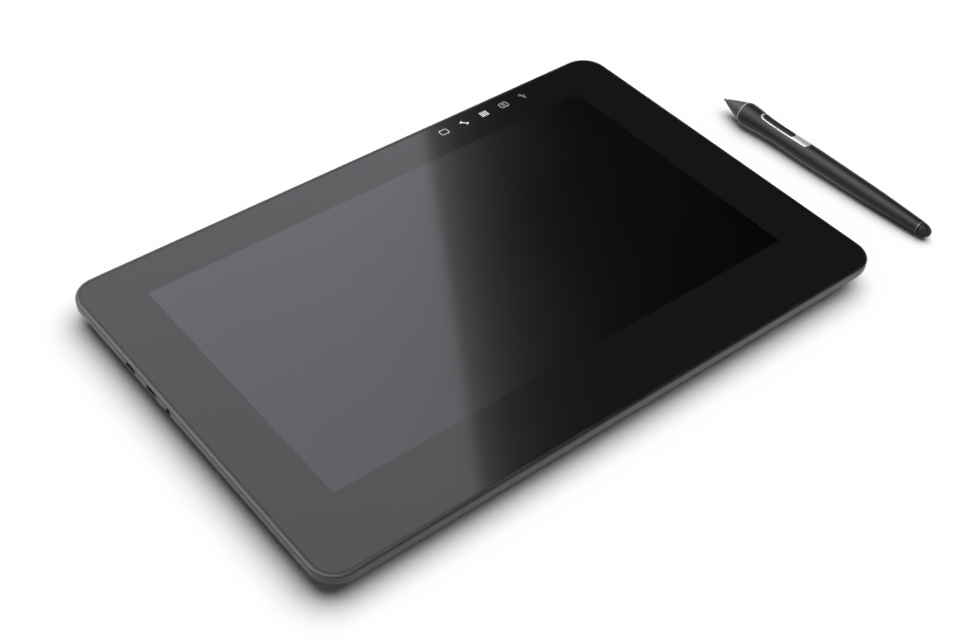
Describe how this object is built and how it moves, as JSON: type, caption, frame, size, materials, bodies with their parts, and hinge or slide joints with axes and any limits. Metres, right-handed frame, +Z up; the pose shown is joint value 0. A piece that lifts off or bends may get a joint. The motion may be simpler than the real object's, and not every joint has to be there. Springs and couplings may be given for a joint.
{
  "type": "pen display tablet",
  "caption": "Flat drawing tablet with a built-in glass-fronted screen, fold-out legs behind and a pressure pen lying beside it.",
  "frame": {"origin": "centre of the tablet's footprint on the table: straight under the middle of its outline, on the plane that its feet stand on, one foot height below the flat underside", "axes": "+Z up out of the screen, +X along the long side to the right, +Y away from the user towards the edge with the power button"},
  "size_m": [0.4158, 0.2356, 0.0175],
  "materials": {
    "cover_glass": "etched, anti-glare, printed black behind its edge",
    "frame_metal": "dark anodised, satin",
    "cover_plastic": "fine spark texture",
    "seal_foam": "foam tape",
    "film": "clear film with traces",
    "panel_glass": "polarised panel",
    "light_guide": "white diffuser stack",
    "moulded_black": "moulded",
    "board_green": "solder mask",
    "board_black": "black solder mask",
    "steel": "plated sheet steel",
    "chassis_metal": "die cast, bead blasted",
    "copper": "bare copper",
    "fin_metal": "bare sheet",
    "chip_black": "moulded epoxy",
    "flex_amber": "polyimide film",
    "foot_rubber": "matte rubber",
    "button_plastic": "satin",
    "pen_nose": "satin",
    "pen_rubber": "soft-touch rubber",
    "pen_body": "soft-touch coating",
    "pen_silver": "satin plated",
    "pen_switch_black": "satin",
    "nib_plastic": "plain"
  },
  "bodies": {
    "tablet": {"side_frame": "frame_metal", "rear_cover": "cover_plastic", "cover_glass": "cover_glass", "glass_gasket": "seal_foam", "touch_film": "film", "lcd_panel": "panel_glass", "backlight_unit": "light_guide", "panel_frame": "moulded_black", "digitizer_board": "board_green", "shield_plate": "steel", "inner_chassis": "chassis_metal", "main_board": "board_green", "board_chips": "chip_black", "cover_screws": "steel", "board_screws": "steel", "heat_pipe": "copper", "heat_fins": "fin_metal", "fan_housing": "moulded_black", "port_board_left": "board_black", "port_board_right": "board_black", "usb_receptacle_left_rear": "steel", "usb_receptacle_left_front": "steel", "usb_receptacle_right": "steel", "headphone_jack": "moulded_black", "card_reader": "steel", "lock_plate": "steel", "button_board": "board_black", "touch_key_board": "flex_amber", "timing_board": "board_green", "display_cable": "flex_amber", "digitizer_cable": "flex_amber", "port_cable_left": "flex_amber", "port_cable_right": "flex_amber", "foot_front_left": "foot_rubber", "foot_front_right": "foot_rubber", "foot_rear_left": "foot_rubber", "foot_rear_right": "foot_rubber", "leg_pin_left": "steel", "leg_pin_right": "steel"},
    "pen": {"pen_nose_cone": "pen_nose", "pen_ring": "pen_silver", "pen_grip": "pen_rubber", "pen_barrel": "pen_body", "pen_tail_ring": "pen_silver", "pen_switch_bezel": "pen_silver", "pen_coil": "copper", "pen_pressure_sensor": "moulded_black", "pen_eraser_sensor": "moulded_black", "pen_board": "board_green"},
    "leg_left": {"leg_left": "cover_plastic", "leg_pad_left": "foot_rubber"},
    "leg_right": {"leg_right": "cover_plastic", "leg_pad_right": "foot_rubber"},
    "power_button": {"power_button": "button_plastic"},
    "touch_switch": {"touch_switch": "button_plastic"},
    "fan_rotor": {"fan_rotor": "moulded_black"},
    "pen_nib": {"pen_nib": "nib_plastic"},
    "pen_switch": {"pen_switch": "pen_switch_black"},
    "pen_eraser": {"pen_eraser": "pen_nose"}
  },
  "joints": [
    {"name": "leg_left_fold", "type": "hinge", "parent": "tablet", "child": "leg_left", "pos_m": [-0.108, 0.076, 0.0035], "axis": [1, 0, 0], "range_deg": [0, 95]},
    {"name": "leg_right_fold", "type": "hinge", "parent": "tablet", "child": "leg_right", "pos_m": [0.108, 0.076, 0.0035], "axis": [1, 0, 0], "range_deg": [0, 95]},
    {"name": "power_button_press", "type": "slide", "parent": "tablet", "child": "power_button", "axis": [0, -1, 0], "range_m": [0, 0.0005], "stiffness_N_per_m": 600},
    {"name": "touch_switch_slide", "type": "slide", "parent": "tablet", "child": "touch_switch", "axis": [1, 0, 0], "range_m": [0, 0.0024]},
    {"name": "fan_spin", "type": "hinge", "parent": "tablet", "child": "fan_rotor", "pos_m": [0.0537, 0.0484, 0.0059], "axis": [0, 0, 1], "continuous": true},
    {"name": "pen_lift", "type": "slide", "parent": "tablet", "child": "pen", "axis": [0, 0, 1], "range_m": [0, 0.06]},
    {"name": "pen_nib_press", "type": "slide", "parent": "pen", "child": "pen_nib", "axis": [0.034, -0.9992, -0.0189], "range_m": [0, 0.0003], "stiffness_N_per_m": 900},
    {"name": "pen_switch_rock", "type": "hinge", "parent": "pen", "child": "pen_switch", "pos_m": [0.22787, -0.00056, 0.01187], "axis": [-0.9994, -0.034, 0], "range_deg": [-2, 2], "stiffness_Nm_per_rad": 0.05},
    {"name": "pen_eraser_press", "type": "slide", "parent": "pen", "child": "pen_eraser", "axis": [-0.034, 0.9992, 0.0189], "range_m": [0, 0.0005], "stiffness_N_per_m": 900}
  ]
}
